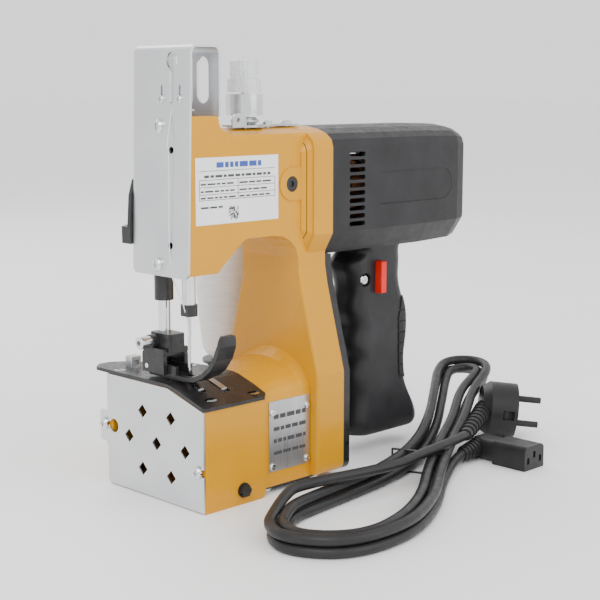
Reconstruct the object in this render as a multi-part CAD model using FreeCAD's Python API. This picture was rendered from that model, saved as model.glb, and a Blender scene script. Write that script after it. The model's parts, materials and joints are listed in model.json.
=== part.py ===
"""Portable bag closer sewing machine, modelled as the separate pieces that it is assembled from.

Frame: millimetres, +Z up. The origin is where the needle's axis meets the surface that the machine stands on.
+X runs along the arm towards the motor, and +Y is the feed direction.
"""
import FreeCAD, Part
import math
import os

V = FreeCAD.Vector
X_AXIS = V(1, 0, 0)
Y_AXIS = V(0, 1, 0)
Z_AXIS = V(0, 0, 1)

# ---- driving dimensions ----
TOP_Z = 290.0               # overall height, at the head cover's crown
MID_Y = 10.1                # plane that the arm, column, motor and handle are centred on
WALL = 4.0                  # casting wall
GAP = 0.3                   # clearance between separate moving bodies
RUN_FIT = 0.05              # radial running clearance of shafts in their bushes

ARM_HALF = 27.2             # half width of the arm
ARM_BOTTOM = 149.0
ARM_TOP_EDGE = 234.0
ARM_CROWN = 238.5
FACE_X = -13.4              # front plane of the arm's head end, at the arm's underside
HORN_X = 11.5               # rear face of the raised head
HORN_TOP = 246.8
THROAT_X = 31.0             # front end of the throat's ceiling
THROAT_TOP = 169.0

COLUMN_X0 = 80.7
COLUMN_X1 = 105.9           # rear mounting plane for the belt cover and the motor
FOOT_HALF = 45.4            # half width of the column's foot
CAST_BOTTOM = 5.2

BOX_X0 = -13.7              # looper box
BOX_X1 = 37.7
BOX_Y0 = -30.4
BOX_Y1 = 68.3
BASE_HALF = 38.0            # half width of the base between looper box and column

PLATE_TOP = 78.4            # needle plate's working face
PLATE_T = 2.2
KNEE_Y = 2.6
PLATE_Y0 = -31.2
PLATE_LOW = 68.1            # height of the plate's lowered front edge
TONGUE_Y = 86.5             # tip of the plate's outlet tongue

MOTOR_Z = 196.0             # motor axis
MOTOR_HALF = 34.5
MOTOR_SEAM_X = 141.3
MOTOR_END_X = 255.3

MAIN_Y = 4.0                # upper and lower shafts lie in this plane
MAIN_Z = 178.5
LOWER_Z = 38.0
SHAFT_R = 4.0
CRANK_R = 13.0              # half the needle stroke
ROD_L = 30.0
PULLEY_TEETH = 14
PULLEY_R = 11.0
PINION_TEETH = 11
GEAR_TEETH = 50

NEEDLE_BAR_R = 4.2
PRESSER_Y = 25.0
PRESSER_R = 3.9

HANDLE_HALF = 16.0
HANDLE_TOP = 153.0
HANDLE_BOTTOM = 13.0

SPOOL_X = 108.0
SPOOL_Y = 80.5
SPOOL_BASE_Z = 68.0

CORD_R = 3.5
HANK_HEIGHT = 14.6          # two layers of cord
TIE_STATION = 5
HANK_LINE = (
    # x, y, underside, half width between the outer cords' centres
    (-22.0, -94.0, 0.0, 10.0), (-8.0, -107.0, 0.0, 36.0), (16.0, -115.0, 0.0, 46.0), (60.0, -104.0, 0.0, 40.0),
    (108.0, -86.0, 0.0, 27.0), (150.0, -66.0, 0.0, 15.0), (201.0, -45.0, 10.0, 17.0), (246.0, -16.0, 25.0, 15.0),
    (286.0, 4.0, 36.0, 18.0), (308.0, 16.0, 40.0, 8.0))
CONNECTOR_END = (215.0, -116.0, 8.4)
CORD_START = (187.0, -74.0, 8.0)
CORD_FINISH = (196.0, -70.0, 19.5)
PLUG_CENTRE = (268.0, -44.0, 21.6)
PLUG_AXIS = (0.7, -0.71, -0.1)
PLUG_R = 20.6

# places of screws, vents and small mechanisms
FACE_SCREWS = ((9.6, 257.0), (-7.7, 257.0))
LOOPER_Y = 40.0
LOOPER_Z = 16.0
PLATE_SCREWS = ((-2.5, -22.3), (32.0, -24.5), (34.5, 40.0), (-9.0, 62.0))
COVER_SLIDE = 9.5
COVER_SCREWS = ((70.8, 41.0), (-24.8, 26.6))
VENTS = ((30.4, 56.4), (1.7, 56.3), (45.0, 37.4), (16.3, 37.3), (-12.2, 37.1), (30.9, 17.8), (1.9, 17.7))
FOOT_PIN_Y = 31.0
FOOT_PIN_Z = 86.0
LIFTER_X = 2.0
LIFTER_Z = 205.0
BOTTOM_SCREWS = ((46.0, -20.0), (46.0, 40.2), (91.0, -20.0), (91.0, 40.2))
NAME_PLATE = (42.5, 80.0, 15.0, 63.0)
COVER_BOLTS = ((MID_Y - 38.0, 16.0), (MID_Y + 38.0, 16.0), (MID_Y - 38.0, 70.0), (MID_Y + 38.0, 70.0))
MOTOR_BOLTS = ((-28.0, 24.0), (28.0, 24.0), (-28.0, -27.0), (28.0, -27.0))
HANDLE_STATIONS = (
    # height, front x, back x, half width
    (13.0, 154.0, 219.5, 15.0), (16.0, 151.5, 221.6, 16.8), (26.0, 150.0, 220.8, 17.0), (45.0, 152.5, 211.2, 16.2),
    (57.0, 151.2, 208.6, 15.8), (69.0, 154.2, 208.2, 15.8), (81.0, 151.0, 209.4, 16.4), (93.0, 153.6, 209.9, 16.6),
    (105.5, 150.2, 208.4, 16.4), (118.0, 152.8, 204.0, 16.0), (130.0, 150.4, 201.9, 16.0), (142.0, 149.4, 201.8, 16.4),
    (HANDLE_TOP, 146.0, 202.5, 18.0))
TRIGGER = (169.8, 175.4, 118.0, 141.0)
TRIGGER_TRAVEL = 3.0
HANDLE_NEAR_SCREW = (159.7, 128.2)
HANDLE_FAR_SCREWS = ((160.0, 38.0), (190.0, 128.0), (208.0, 26.0))
STUD_X = 53.6
STUD_Y = 5.6
BRACKET_Z = 239.0
BRACKET_SCREWS = ((73.6, STUD_Y), (91.0, STUD_Y))


# ---- small helpers ----
def box(x0, x1, y0, y1, z0, z1):
    return Part.makeBox(x1 - x0, y1 - y0, z1 - z0, V(x0, y0, z0))


def rod(start, end, radius):
    axis = end - start
    return Part.makeCylinder(radius, axis.Length, start, axis)


def rod_x(x0, x1, y, z, radius):
    return rod(V(x0, y, z), V(x1, y, z), radius)


def rod_y(y0, y1, x, z, radius):
    return rod(V(x, y0, z), V(x, y1, z), radius)


def rod_z(z0, z1, x, y, radius):
    return rod(V(x, y, z0), V(x, y, z1), radius)


def tube_x(x0, x1, y, z, outer, inner):
    return rod_x(x0, x1, y, z, outer).cut(rod_x(x0 - 1, x1 + 1, y, z, inner))


def tube_z(z0, z1, x, y, outer, inner):
    return rod_z(z0, z1, x, y, outer).cut(rod_z(z0 - 1, z1 + 1, x, y, inner))


def face_of(points):
    return Part.Face(Part.makePolygon(points + [points[0]]))


def prism_x(outline, x0, x1):
    """Extrude an outline of (y, z) points along X."""
    return face_of([V(x0, y, z) for y, z in outline]).extrude(V(x1 - x0, 0, 0))


def prism_y(outline, y0, y1):
    """Extrude an outline of (x, z) points along Y."""
    return face_of([V(x, y0, z) for x, z in outline]).extrude(V(0, y1 - y0, 0))


def prism_z(outline, z0, z1):
    """Extrude an outline of (x, y) points along Z."""
    return face_of([V(x, y, z0) for x, y in outline]).extrude(V(0, 0, z1 - z0))


def fuse(shapes):
    first = shapes[0]
    rest = shapes[1:]
    return first.multiFuse(rest).removeSplitter() if rest else first


def cut_all(shape, tools):
    return shape.cut(Part.makeCompound(tools))


def edges_where(shape, test):
    return [edge for edge in shape.Edges if test(edge)]


def runs_along(edge, axis):
    if not isinstance(edge.Curve, Part.Line):
        return False
    return abs(abs(edge.tangentAt(edge.FirstParameter).dot(axis)) - 1) < 1e-6


def round_edges(shape, radius, test):
    chosen = edges_where(shape, test)
    return shape.makeFillet(radius, chosen) if chosen else shape


def arc_points(cx, cz, radius, start_deg, end_deg, count):
    step = (end_deg - start_deg) / (count - 1)
    angles = [math.radians(start_deg + step * i) for i in range(count)]
    return [(cx + radius * math.cos(a), cz + radius * math.sin(a)) for a in angles]


def pan_screw(head, direction, head_r, head_h, shank_r, length):
    """Cross-recess pan screw: head is the point under the head, direction points out of the head."""
    out = V(direction).normalize()
    brim = head + out * (head_h * 0.6)
    cap = rod(head, brim, head_r).fuse(Part.makeCone(head_r, head_r * 0.8, head_h * 0.4, brim, out))
    shank = rod(head - out * length, head, shank_r)
    side = out.cross(Z_AXIS if abs(out.z) < 0.9 else X_AXIS).normalize()
    other = out.cross(side)
    arms = []
    for along, across in ((side, other), (other, side)):
        half = head_r * 0.55
        thick = head_r * 0.11
        corner = [along * half + across * thick, along * half - across * thick,
                  along * -half - across * thick, along * -half + across * thick]
        low = head + out * (head_h * 0.45)
        arms.append(face_of([low + c for c in corner]).extrude(out * head_h))
    return cap.fuse(shank).cut(Part.makeCompound(arms))


def toothed_wheel(teeth, root_r, tip_r, x0, x1, y, z, phase=0.0, fill=0.5):
    """Spur wheel on an X axis, with straight-flanked teeth."""
    outline = []
    pitch = 2 * math.pi / teeth
    for i in range(teeth):
        a = pitch * (i + phase)
        for offset, radius in ((-0.5 * fill - 0.08, root_r), (-0.5 * fill + 0.10, tip_r),
                               (0.5 * fill - 0.10, tip_r), (0.5 * fill + 0.08, root_r)):
            t = a + offset * pitch
            outline.append((y + radius * math.sin(t), z + radius * math.cos(t)))
    return prism_x(outline, x0, x1)


# ---- outlines shared by the casting, the motor and the covers ----
def motor_half(inset=0.0):
    """Right half of the motor collar's outline: chamfered below, flat sided, crowned on top."""
    return [(0, ARM_BOTTOM + 4 + inset), (25.6 - inset, ARM_BOTTOM + 4 + inset), (27.4 - inset, 155.6 + inset),
            (MOTOR_HALF - inset, 167.6 + inset * 0.5), (MOTOR_HALF - inset, 225.0 - inset * 0.5),
            (33.0 - inset, 230.0 - inset * 0.8), (28.4 - inset * 0.8, 233.8 - inset), (20.0, 236.9 - inset),
            (10.0, 238.4 - inset), (0, 238.8 - inset)]


def motor_outline(inset=0.0):
    half = motor_half(inset)
    right = [(MID_Y + dy, z) for dy, z in half]
    left = [(MID_Y - dy, z) for dy, z in reversed(half[1:-1])]
    return right + left


def column_outline(inset=0.0):
    """The column flares from the arm's width at the top to the foot's width."""
    half = [(FOOT_HALF - inset, CAST_BOTTOM + inset), (FOOT_HALF - inset, 74.6),
            (29.6 - inset, 133.0), (ARM_HALF - inset, 146.0), (ARM_HALF - inset, 160.0)]
    right = [(MID_Y + dy, z) for dy, z in half]
    left = [(MID_Y - dy, z) for dy, z in reversed(half)]
    return right + left


def plate_profile(low, high, y_end):
    """(y, z) band of the bent needle plate between two offsets below its working face."""
    slope = (PLATE_TOP - PLATE_LOW) / (KNEE_Y - PLATE_Y0)
    knee = [(KNEE_Y - 3.0, PLATE_TOP - 3.0 * slope), (KNEE_Y + 2.0, PLATE_TOP - 0.12), (KNEE_Y + 5.0, PLATE_TOP)]
    upper = [(PLATE_Y0, PLATE_LOW)] + knee + [(y_end, PLATE_TOP)]
    top = [(y, z + high) for y, z in upper]
    bottom = [(y, z + low) for y, z in reversed(upper)]
    return top + bottom


def face_x(z):
    """Front face of the head leans back by a few millimetres over its height."""
    return FACE_X + (z - ARM_BOTTOM) * 0.0294


# ---- the casting ----
def casting_arm():
    crown = [(ARM_HALF, ARM_BOTTOM), (ARM_HALF, ARM_TOP_EDGE - 1.0), (ARM_HALF - 0.8, ARM_TOP_EDGE + 0.8),
             (20.0, 236.7), (10.0, 238.1)]
    right = [(MID_Y + dy, z) for dy, z in crown]
    left = [(MID_Y - dy, z) for dy, z in reversed(crown)]
    body = prism_x(right + left, -20.0, COLUMN_X1)
    head = box(-20, HORN_X, MID_Y - ARM_HALF, MID_Y + ARM_HALF, 200, HORN_TOP)
    head = round_edges(head, 2.5, lambda e: runs_along(e, Y_AXIS) and e.BoundBox.XMin > 0 and e.BoundBox.ZMin > 230)
    # concave step from the head down to the arm's top
    step_r = 9.0
    step = [(HORN_X - 1, 225.0), (HORN_X + step_r, 225.0), (HORN_X + step_r, 236.0)]
    step += arc_points(HORN_X + step_r, 236.0 + step_r, step_r, 270, 180, 9)[1:]
    step += [(HORN_X - 1, 236.0 + step_r)]
    shoulder = prism_y(step, MID_Y - ARM_HALF, MID_Y + ARM_HALF)
    shoulder = shoulder.common(box(HORN_X - 1, HORN_X + step_r, -100, 100, 225, HORN_TOP - 2.5))
    arm = fuse([body, head, shoulder])
    # the throat: the arm's underside rises behind the head
    throat = [(9.0, 100.0), (9.0, ARM_BOTTOM - 0.2), (12.0, 151.4), (28.6, 165.6), (THROAT_X + 1.5, THROAT_TOP - 0.8),
              (36.0, THROAT_TOP), (58.0, THROAT_TOP), (66.0, 168.0), (73.0, 164.6), (78.0, 159.6),
              (COLUMN_X0, 152.0), (COLUMN_X0, 100.0)]
    arm = arm.cut(prism_y(throat, -100, 100))
    front = [(-40, 100), (face_x(100), 100), (face_x(300), 300), (-40, 300)]
    return arm.cut(prism_y(front, -100, 100))


def casting_collar():
    """The arm swells into the motor collar through a hollow fillet."""
    collar = prism_x(motor_outline(), 88.0, COLUMN_X1)
    loft = Part.makeLoft([Part.makePolygon([V(x, y, z) for y, z in outline + outline[:1]])
                          for x, outline in ((82.5, motor_outline(6.5)), (88.5, motor_outline(1.2)))], True, True)
    return fuse([collar, loft])


def casting_column():
    column = prism_x(column_outline(), COLUMN_X0, COLUMN_X1)
    column = round_edges(column, 6.0, lambda e: runs_along(e, X_AXIS) and e.BoundBox.ZMax < CAST_BOTTOM + 0.1)
    return round_edges(column, 2.2, lambda e: e.BoundBox.XMax < COLUMN_X0 + 0.01 and e.BoundBox.ZMin > 6
                       and e.BoundBox.ZMax < 147)


def arch_wire(x, rise, inset=0.0):
    """Cross-section of the base: straight sides under an elliptical crown."""
    half = BASE_HALF - inset
    spring = 62.0
    bottom = CAST_BOTTOM + inset
    steps = 14
    points = []
    for i in range(steps + 1):
        a = math.pi * i / steps
        points.append(V(x, MID_Y + half * math.cos(a), spring + (rise - inset) * math.sin(a)))
    return Part.makePolygon([V(x, MID_Y + half, bottom)] + points + [V(x, MID_Y - half, bottom),
                                                                   V(x, MID_Y + half, bottom)])


def casting_base():
    base = Part.makeLoft([arch_wire(36.0, 13.0), arch_wire(COLUMN_X0 - 8.0, 22.0)], True, True)
    flare = Part.makeLoft([arch_wire(COLUMN_X0 - 8.1, 22.0), arch_wire(COLUMN_X0 + 1.0, 28.0)], True, True)
    return fuse([base, flare])


def casting_looper_box():
    outline = [(BOX_Y0, 0.0), (BOX_Y1, 0.0)]
    outline += [(BOX_Y1, PLATE_TOP - PLATE_T), (KNEE_Y + 5.0, PLATE_TOP - PLATE_T),
                (KNEE_Y + 2.0, PLATE_TOP - 0.12 - PLATE_T)]
    slope = (PLATE_TOP - PLATE_LOW) / (KNEE_Y - PLATE_Y0)
    outline += [(KNEE_Y - 3.0, PLATE_TOP - 3.0 * slope - PLATE_T),
                (BOX_Y0, PLATE_LOW + (BOX_Y0 - PLATE_Y0) * slope - PLATE_T)]
    shell = prism_x(outline, BOX_X0, BOX_X1)
    return round_edges(shell, 5.0, lambda e: runs_along(e, Y_AXIS) and e.BoundBox.XMin > BOX_X1 - 0.1
                       and e.BoundBox.ZMax < 1)


def body_casting():
    casting = fuse([casting_arm(), casting_collar(), casting_column(), casting_base(), casting_looper_box()])
    arm_lo = MID_Y - ARM_HALF + WALL
    arm_hi = MID_Y + ARM_HALF - WALL
    head_room = prism_y([(-40, 153.0), (10.9, 153.0), (22.0, 162.6), (22.0, 230.0), (-40, 230.0)], arm_lo, arm_hi)
    arm_room = box(32.0, COLUMN_X0, arm_lo, arm_hi, 172.5, 231.0)
    collar_room = prism_x(motor_outline(WALL), 85.0, COLUMN_X1 + 1)
    column_room = prism_x(column_outline(WALL), 85.0, COLUMN_X1 + 1)
    base_room = box(41.7, COLUMN_X0, MID_Y - 30, MID_Y + 30, 0.0, 60.0)
    looper_room = box(BOX_X0 - 1, BOX_X1 - WALL, BOX_Y0 + WALL, BOX_Y1 - WALL, WALL, 61.0)
    mouth = box(BOX_X0 + 6, 30.0, -18.0, 56.0, 50.0, 90.0)
    holes = [rod_x(20, 34, MAIN_Y, MAIN_Z, 8.0), rod_x(COLUMN_X0 - 1, 86, MAIN_Y, MAIN_Z, 8.0),
             rod_x(32, 43, MAIN_Y, LOWER_Z, 8.0), rod_x(COLUMN_X0 - 1, 86, MAIN_Y, LOWER_Z, 8.0),
             rod_z(140, 170, 0, 0, 6.0), rod_z(225, 250, 0, 0, 6.0),
             rod_z(140, 170, 0, PRESSER_Y, 6.0), rod_z(225, 250, 0, PRESSER_Y, 6.0),
             rod_y(-40, MID_Y, 74.1, 201.8, 5.2), rod_y(-40, -20, 17.9, 9.4, 2.6)]
    casting = cut_all(casting, [head_room, arm_room, collar_room, column_room, base_room, looper_room, mouth])
    plate_seat = prism_x(plate_profile(-PLATE_T, 8.0, TONGUE_Y + 5), 36.0, 41.8)
    crank_pocket = box(9.5, 22.0, -14.6, MID_Y, 166.0, 214.0)
    rod_pocket = box(9.5, 14.6, -15.2, MID_Y, 159.5, 180.0)
    cover_seat = box(HORN_X, 24.0, MID_Y - 14.4, MID_Y + 14.4, 238.8, 250.0)
    casting = cut_all(casting, holes + [plate_seat, crank_pocket, rod_pocket, cover_seat])
    # D-shaped pad round the side plug
    pad_x = 74.1
    pad = rod_y(MID_Y - ARM_HALF - 0.9, MID_Y - ARM_HALF + 1, pad_x, 201.8, 10.8)
    pad = pad.fuse(box(pad_x, pad_x + 8.4, MID_Y - ARM_HALF - 0.9, MID_Y - ARM_HALF + 1, 191.0, 212.6))
    pad = pad.cut(rod_y(-40, 0, pad_x, 201.8, 5.2))
    pad = pad.cut(box(pad_x + 8.4, pad_x + 20, -40, 0, 180, 220))
    return fuse([casting, pad])


# ---- head ----
def head_cover():
    """Inverted U of sheet steel: front plate, crown and back plate."""
    t = 1.5
    back_x = HORN_X + 0.2
    bend = 5.0
    low = 147.2
    front_top = face_x(TOP_Z)
    outer = [(face_x(low) - t, low), (face_x(TOP_Z - bend) - t, TOP_Z - bend)]
    outer += arc_points(front_top - t + bend, TOP_Z - bend, bend, 170, 90, 6)
    outer += arc_points(back_x + t - bend, TOP_Z - bend, bend, 90, 0, 7)
    outer += [(back_x + t, 239.0)]
    inner = [(back_x, 239.0)]
    inner += arc_points(back_x + t - bend, TOP_Z - bend, bend - t, 0, 90, 7)
    inner += arc_points(front_top - t + bend, TOP_Z - bend, bend - t, 90, 170, 6)
    inner += [(face_x(TOP_Z - bend), TOP_Z - bend), (face_x(low), low)]
    half = ARM_HALF + 0.1
    sheet = prism_y(outer + inner, MID_Y - half, MID_Y + half)
    # trim the silhouette seen along X: round corners below, round shoulders above
    body = box(-40, 0, MID_Y - half, MID_Y + half, low, TOP_Z)
    body = round_edges(body, 4.0, lambda e: runs_along(e, X_AXIS) and e.BoundBox.ZMax < low + 1)
    back = box(0, 40, MID_Y - half, MID_Y + half, 246.0, TOP_Z)
    back = round_edges(back, 4.0, lambda e: runs_along(e, X_AXIS) and e.BoundBox.ZMax < 247)
    tab = box(0, 40, MID_Y - 14, MID_Y + 14, 239.0, 250.0)
    sheet = sheet.common(fuse([body, back, tab]))
    cuts = [rod_x(-30, 0, 0, 280.5, 5.3), box(-30, 0, -2.4, 2.4, 256.8, 280.5), rod_x(-30, 0, 0, 256.8, 2.4),
            rod_x(-30, 0, 0, 226.1, 2.25), rod_x(-30, 0, 0, 167.1, 2.25),
            rod_x(-30, 0, 12.0, 240.4, 2.2), rod_x(-30, 0, 12.0, 154.3, 2.2)]
    for y, z in FACE_SCREWS:
        cuts += [rod_x(-30, 0, y, z, 1.6), box(-30, 0, y - 0.9, y + 0.9, z, z + 8.0), rod_x(-30, 0, y, z + 8.0, 0.9)]
    slot_y = -2.0
    cuts += [box(0, 30, slot_y - 5.6, slot_y + 5.6, 260.0, 277.6), rod_x(0, 30, slot_y, 260.0, 5.6),
             rod_x(0, 30, slot_y, 277.6, 5.6)]
    for dy in (-9, 9):
        cuts.append(rod_x(0, 30, MID_Y + dy, 242.5, 1.7))
    return cut_all(sheet, cuts)


def head_cover_screws():
    screws = []
    for z in (240.4, 154.3):
        screws.append(pan_screw(V(face_x(z) - 1.5, 12.0, z), (-1, 0, 0), 4.3, 2.6, 2.0, 3.4))
    for y, z in FACE_SCREWS:
        screws.append(pan_screw(V(face_x(z) - 1.5, y, z), (-1, 0, 0), 2.5, 1.6, 1.3, 2.9))
    for dy in (-9, 9):
        screws.append(pan_screw(V(HORN_X + 1.7, MID_Y + dy, 242.5), (1, 0, 0), 3.0, 1.8, 1.6, 3.6))
    return screws


def thread_guide_plate():
    """Small plate behind the front sheet that the two face screws hold, with a folded thread lip."""
    x = face_x(252)
    plate = box(x, x + 1.2, -11.5, 13.5, 250.0, 266.0)
    lip = box(x, x + 7.0, -11.5, 13.5, 250.0, 251.2)
    plate = plate.fuse(lip)
    cuts = [box(x - 1, x + 9, -3.4, 3.4, 245.0, 270.0)]
    cuts += [rod_x(x - 2, x + 3, y, z, 1.4) for y, z in FACE_SCREWS]
    plate = plate.cut(Part.makeCompound(cuts))
    return plate.Solids


# ---- needle drive ----
def needle_bar():
    bar = rod_z(128.6, 281.0, 0, 0, NEEDLE_BAR_R)
    return bar.cut(box(-NEEDLE_BAR_R - 1, -NEEDLE_BAR_R + 0.7, -3, 3, 176.0, 225.0))


def needle_clamp():
    clamp = rod_z(121.2, 128.6, 0, 0, 5.4)
    clamp = clamp.cut(box(-6, -4.2, -6, 6, 120.0, 130.0))
    return clamp.cut(rod_z(119, 130, 0, 0, 1.2))


def needle():
    shank = rod_z(108.0, 128.6, 0, 0, 1.15)
    blade = rod_z(86.0, 108.0, 0, 0, 0.8)
    point = Part.makeCone(0.1, 0.8, 4.0, V(0, 0, 82.0))
    eye = box(-0.3, 0.3, -2, 2, 87.5, 90.0)
    return fuse([shank, blade, point]).cut(eye)


def drive_stud():
    """Clamp on the needle bar with the stud that the connecting rod hangs on."""
    z = MAIN_Z + CRANK_R + math.sqrt(ROD_L ** 2 - MAIN_Y ** 2)
    block = box(-7.0, 7.5, -7.0, 7.0, z - 4.5, z + 4.5).cut(rod_z(z - 6, z + 6, 0, 0, NEEDLE_BAR_R))
    stud = rod_x(7.5, 13.9, 0, z, 2.5)
    return fuse([block, stud])


def take_up():
    """Wire eyelet on top of the needle bar that draws the thread behind the face slot."""
    cap = rod_z(281.0, 283.0, 0, 0, NEEDLE_BAR_R)
    arm = box(-9.0, 0.0, -1.2, 1.2, 281.0, 283.0)
    wire = rod_z(274.0, 283.0, -8.0, 0, 1.1)
    return fuse([cap, arm, wire])


def needle_bar_bushes():
    lower = tube_z(149.0, 165.0, 0, 0, 6.0, NEEDLE_BAR_R + RUN_FIT)
    lower = lower.fuse(tube_z(147.0, 149.0, 0, 0, 7.0, NEEDLE_BAR_R + RUN_FIT))
    upper = tube_z(230.0, HORN_TOP, 0, 0, 6.0, NEEDLE_BAR_R + RUN_FIT)
    return [lower, upper]


def crank():
    """Crank arm with counterweight; its pin is left out where the linkage is opened."""
    x0 = 14.2
    x1 = 19.4
    web = box(x0, x1, MAIN_Y - 3.6, MAIN_Y + 3.6, MAIN_Z - 4, MAIN_Z + CRANK_R)
    tip = rod_x(x0, x1, MAIN_Y, MAIN_Z + CRANK_R, 3.6)
    hub = rod_x(x0, x1 + 1.0, MAIN_Y, MAIN_Z, 8.0)
    weight = rod_x(x0, x1, MAIN_Y, MAIN_Z, 13.4).common(box(x0, x1, MAIN_Y - 16, MAIN_Y + 16, MAIN_Z - 16, MAIN_Z - 3))
    body = fuse([web, tip, hub, weight])
    return body.cut(rod_x(x0 + 2.0, x1 + 2, MAIN_Y, MAIN_Z, SHAFT_R))


def connecting_rod():
    """Flat rod that hangs on the needle bar's stud and reaches down beside the crank."""
    low = V(0, MAIN_Y, MAIN_Z + CRANK_R)
    high = V(0, 0, low.z + math.sqrt(ROD_L ** 2 - MAIN_Y ** 2))
    x0 = 10.9
    x1 = 13.9
    eyes = [rod_x(x0, x1, low.y, low.z, 4.6), rod_x(x0, x1, high.y, high.z, 4.4)]
    along = (high - low).normalize()
    side = V(0, along.z, -along.y)
    corners = [low + side * 2.2, high + side * 2.2, high - side * 2.2, low - side * 2.2]
    bar = face_of([V(x0, c.y, c.z) for c in corners]).extrude(V(x1 - x0, 0, 0))
    body = fuse(eyes + [bar])
    return cut_all(body, [rod_x(x0 - 1, x1 + 1, low.y, low.z, 2.5 + RUN_FIT),
                          rod_x(x0 - 1, x1 + 1, high.y, high.z, 2.5 + RUN_FIT)])


def main_shaft():
    return rod_x(16.2, 103.0, MAIN_Y, MAIN_Z, SHAFT_R)


def main_shaft_bushes():
    return [tube_x(20.8, 33.0, MAIN_Y, MAIN_Z, 8.0, SHAFT_R + RUN_FIT),
            tube_x(COLUMN_X0 - 0.7, 85.6, MAIN_Y, MAIN_Z, 8.0, SHAFT_R + RUN_FIT)]


def pulley(z, x0=94.0, x1=102.0):
    wheel = toothed_wheel(PULLEY_TEETH, PULLEY_R - 1.3, PULLEY_R, x0, x1, MAIN_Y, z)
    flanges = [rod_x(x0 - 1.2, x0, MAIN_Y, z, PULLEY_R + 1.8), rod_x(x1, x1 + 1.2, MAIN_Y, z, PULLEY_R + 1.8)]
    return fuse([wheel] + flanges).cut(rod_x(x0 - 2, x1 + 2, MAIN_Y, z, SHAFT_R))


def gear_radii():
    """Pitch radii of pinion and gear from the distance between their axes."""
    distance = math.hypot(MID_Y - MAIN_Y, MOTOR_Z - MAIN_Z)
    share = PINION_TEETH / (PINION_TEETH + GEAR_TEETH)
    return distance * share, distance * (1 - share)


def reduction_gear():
    pinion_r, gear_r = gear_radii()
    module = 2 * gear_r / GEAR_TEETH
    mesh_angle = math.atan2(MID_Y - MAIN_Y, MOTOR_Z - MAIN_Z)
    phase = mesh_angle / (2 * math.pi / GEAR_TEETH)
    wheel = toothed_wheel(GEAR_TEETH, gear_r - 1.1 * module, gear_r + 0.75 * module, 86.8, 91.8, MAIN_Y, MAIN_Z,
                          phase, 0.42)
    hub = rod_x(86.8, 92.6, MAIN_Y, MAIN_Z, 7.0)
    return fuse([wheel, hub]).cut(rod_x(80, 95, MAIN_Y, MAIN_Z, SHAFT_R))


def timing_belt():
    """Closed belt round both pulleys."""
    inner = PULLEY_R + GAP
    outer = inner + 1.4
    def loop(radius):
        upper = arc_points(MAIN_Y, MAIN_Z, radius, 0, 180, 13)
        lower = arc_points(MAIN_Y, LOWER_Z, radius, 180, 360, 13)
        return prism_x(upper + lower, 94.3, 101.7)
    return loop(outer).cut(loop(inner))


# ---- looper box mechanism ----
def lower_shaft():
    shaft = rod_x(-6.0, 103.0, MAIN_Y, LOWER_Z, SHAFT_R)
    collar = rod_x(12.0, 16.0, MAIN_Y, LOWER_Z, 7.0)
    eccentric = rod_x(22.0, 28.0, MAIN_Y + 1.8, LOWER_Z, 7.0)
    return fuse([shaft, collar, eccentric])


def lower_shaft_bearings():
    return [tube_x(33.0, 42.5, MAIN_Y, LOWER_Z, 8.0, SHAFT_R + RUN_FIT),
            tube_x(COLUMN_X0 - 0.7, 85.6, MAIN_Y, LOWER_Z, 8.0, SHAFT_R + RUN_FIT)]


def looper():
    """Rocker with the hooked blade that passes beside the needle."""
    hub = rod_x(0.0, 10.0, LOOPER_Y, LOOPER_Z, 6.0)
    arm = prism_x([(LOOPER_Y - 4, LOOPER_Z), (LOOPER_Y + 4, LOOPER_Z), (LOOPER_Y + 3, 66.0), (LOOPER_Y - 3, 66.0)],
                  1.4, 6.0)
    blade = prism_x([(LOOPER_Y + 2, 62.0), (LOOPER_Y + 2, 67.0), (14.0, 68.0), (4.0, 66.2), (2.5, 64.6),
                     (12.0, 64.4)], 1.6, 3.6)
    return fuse([hub, arm, blade]).cut(rod_x(-2, 12, LOOPER_Y, LOOPER_Z, 3.0 + RUN_FIT))


def looper_pin():
    return rod_x(-9.0, BOX_X1 - WALL, LOOPER_Y, LOOPER_Z, 3.0)


def plate_z(y):
    """Height of the needle plate's working face."""
    slope = (PLATE_TOP - PLATE_LOW) / (KNEE_Y - PLATE_Y0)
    return PLATE_TOP if y > KNEE_Y else PLATE_TOP - (KNEE_Y - y) * slope


def feed_dog():
    """Two toothed rows on a carrier that reaches down to the eccentric."""
    teeth = []
    for i in range(12):
        y0 = 5.0 + 1.6 * i
        teeth.append((y0, PLATE_TOP + 0.7))
        teeth.append((y0 + 0.9, PLATE_TOP + 0.1))
    side = [(-14.0, 66.0), (-14.0, plate_z(-14.0) + 0.6), (KNEE_Y, PLATE_TOP + 0.6)] + teeth + [(24.5, 66.0)]
    row = prism_x(side, 14.2, 18.8)
    finger = prism_x([(-10.0, 66.0), (-10.0, plate_z(-10) + 0.7), (-5.6, plate_z(-5.6) + 0.7), (-5.6, 66.0)], -1.6, 2.6)
    bridge = box(-1.6, 18.8, -14.0, -5.0, 64.0, 69.5)
    stem = box(22.0, 28.0, MAIN_Y - 13, MAIN_Y - 9.6, 40.0, 66.0)
    stem2 = box(22.0, 28.0, MAIN_Y + 13.4, MAIN_Y + 16.8, 40.0, 66.0)
    beam = box(14.2, 28.0, MAIN_Y - 13, MAIN_Y + 16.8, 62.0, 66.0)
    return fuse([row, finger, bridge, stem, stem2, beam])


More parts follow.
